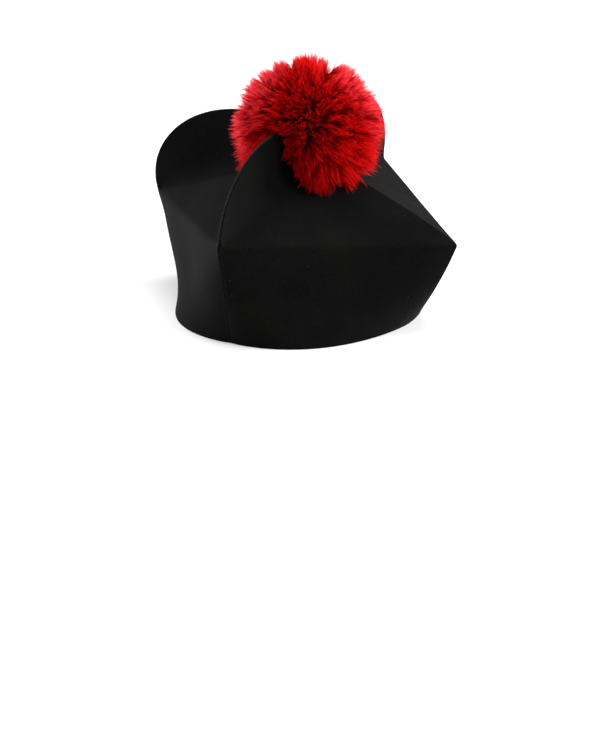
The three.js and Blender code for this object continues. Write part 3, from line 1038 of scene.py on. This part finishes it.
ply_luck = lerp(numpy.repeat(chance.random(YARNS), PLIES), chance.random(plies), LUCK_SHARED)
quarter_of = (fibre_tips[:, 0] > 0) * 1 + (fibre_tips[:, 1] > 0) * 2
yarn_pieces = []
for place, name in enumerate(("front_right", "front_left", "back_right", "back_left")):
    chosen = numpy.nonzero(kept & (quarter_of == place))[0]
    piece = strand_piece("yarn_" + name, chosen)
    yarn_pieces.append(piece)
    print(piece.name, len(chosen), "strands", len(chosen) * strand_triangles, "triangles")

# %% The tied middle
KNOT_RADIUS = POMPOM_RADIUS * 0.44

bpy.ops.mesh.primitive_ico_sphere_add(subdivisions=4, radius=KNOT_RADIUS, location=POMPOM_CENTRE)
knot = bpy.context.object
knot.name = "yarn_middle"
bpy.ops.object.transform_apply(location=True, rotation=True, scale=True)
bpy.ops.object.shade_smooth()
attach(knot, "root")
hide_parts("pompom")
print(knot.name, len(knot.data.polygons), "triangles")

# %% [markdown]
# ## Red yarn
# The yarn is a bright blue-red. Each ply took the dye a little differently, so the map that
# every strand carries gives each ply its own depth of red. Along each strand the same map paints
# shade on the roots, deep in the ball, and a pale pink glow on the longest cut ends. On the two
# sides that stand clear of the horns and get the most light, the longest ends are painted pink
# as a painted glow of the light behind them, in some plies more than in others.

# %% Yarn material
# painted shade and light along a strand: the roots are painted dark as shade deep in the ball, and
# the longest cut ends are painted pale pink as light coming through them
SHADED_ROOT_LIT_TIP_REDS = [
    (0.0, (0.20, 0.0004, 0.0001)), (0.55, (0.55, 0.0010, 0.0002)), (0.80, (0.72, 0.0012, 0.0002)),
    (0.90, (0.79, 0.003, 0.003)), (1.0, (0.88, 0.05, 0.07)),
]
DYE_LOTS = [(0.0, 0.45), (0.3, 0.78), (0.7, 1.0), (1.0, 1.25)]
TWIST_SCALE = 900.0
# two directions where the long ends are painted pink: a painted glow of light from behind
BACKLIT_SIDES = [(-0.86, -0.42, 0.30), (0.62, 0.58, 0.53)]
BACKLIT_PINK = (1.0, 0.12, 0.17, 1)
# deals the plies out anew, so that the painted pink glow doesn't go by their depth of red
STREAKS = 7.3

yarn, tree, shader = new_material("red_wool_yarn")
strand_map = node(tree, "UVMap", {"uv_map": "yarn"}).outputs["UV"]
place = node(tree, "SeparateXYZ", Vector=strand_map)
space = node(tree, "TexCoord").outputs["Object"]
dye = ramp(tree, place.outputs["X"], DYE_LOTS)
shaded_root_lit_tip_red = ramp(tree, place.outputs["Y"], SHADED_ROOT_LIT_TIP_REDS)
twist = node(tree, "TexNoise", Vector=space, Scale=TWIST_SCALE, Detail=2.0).outputs["Fac"]
mottle = ramp(tree, twist, [(0.3, 0.75), (0.7, 1.15)])
red = mix_colour(tree, 1.0, shaded_root_lit_tip_red, dye, "MULTIPLY")
red = mix_colour(tree, 1.0, red, mottle, "MULTIPLY")
# painted backlit glow: long ends on the two lit sides of the ball are painted pink
outward = node(tree, "VectorMath", {"operation": "SUBTRACT"}, n0=space, n1=POMPOM_CENTRE).outputs[0]
outward = node(tree, "VectorMath", {"operation": "NORMALIZE"}, n0=outward).outputs[0]
dots = [
    node(tree, "VectorMath", {"operation": "DOT_PRODUCT"}, n0=outward, n1=direction)
    for direction in BACKLIT_SIDES
]
nearest_side = math_node(tree, "MAXIMUM", *(dot.outputs["Value"] for dot in dots))
backlit_side = node(tree, "MapRange", Value=nearest_side, n1=0.55, n2=0.95).outputs[0]
loose_end = node(tree, "MapRange", Value=place.outputs["Y"], n1=0.6, n2=0.95).outputs[0]
lot = math_node(tree, "FRACT", math_node(tree, "MULTIPLY", place.outputs["X"], STREAKS))
streaks = node(tree, "MapRange", Value=lot, n1=0.15, n2=0.95).outputs[0]
backlit_glow = math_node(tree, "MULTIPLY", math_node(tree, "MULTIPLY", backlit_side, loose_end), streaks)
red = mix_colour(tree, backlit_glow, red, BACKLIT_PINK)
tree.links.new(red, shader.inputs["Base Color"])
bump = node(tree, "Bump", Height=twist, Strength=0.3, Distance=0.0002)
tree.links.new(bump.outputs["Normal"], shader.inputs["Normal"])
tree.links.new(ramp(tree, twist, [(0.3, 0.55), (0.7, 0.75)]), shader.inputs["Roughness"])
shader.inputs["Specular IOR Level"].default_value = 0.04
shader.inputs["Sheen Weight"].default_value = 0.02
shader.inputs["Sheen Roughness"].default_value = 0.25
shader.inputs["Sheen Tint"].default_value = (1.0, 0.6, 0.75, 1)
for piece in (*yarn_pieces, knot):
    piece.data.materials.clear()
    piece.data.materials.append(yarn)
print("nodes in the yarn", len(tree.nodes))
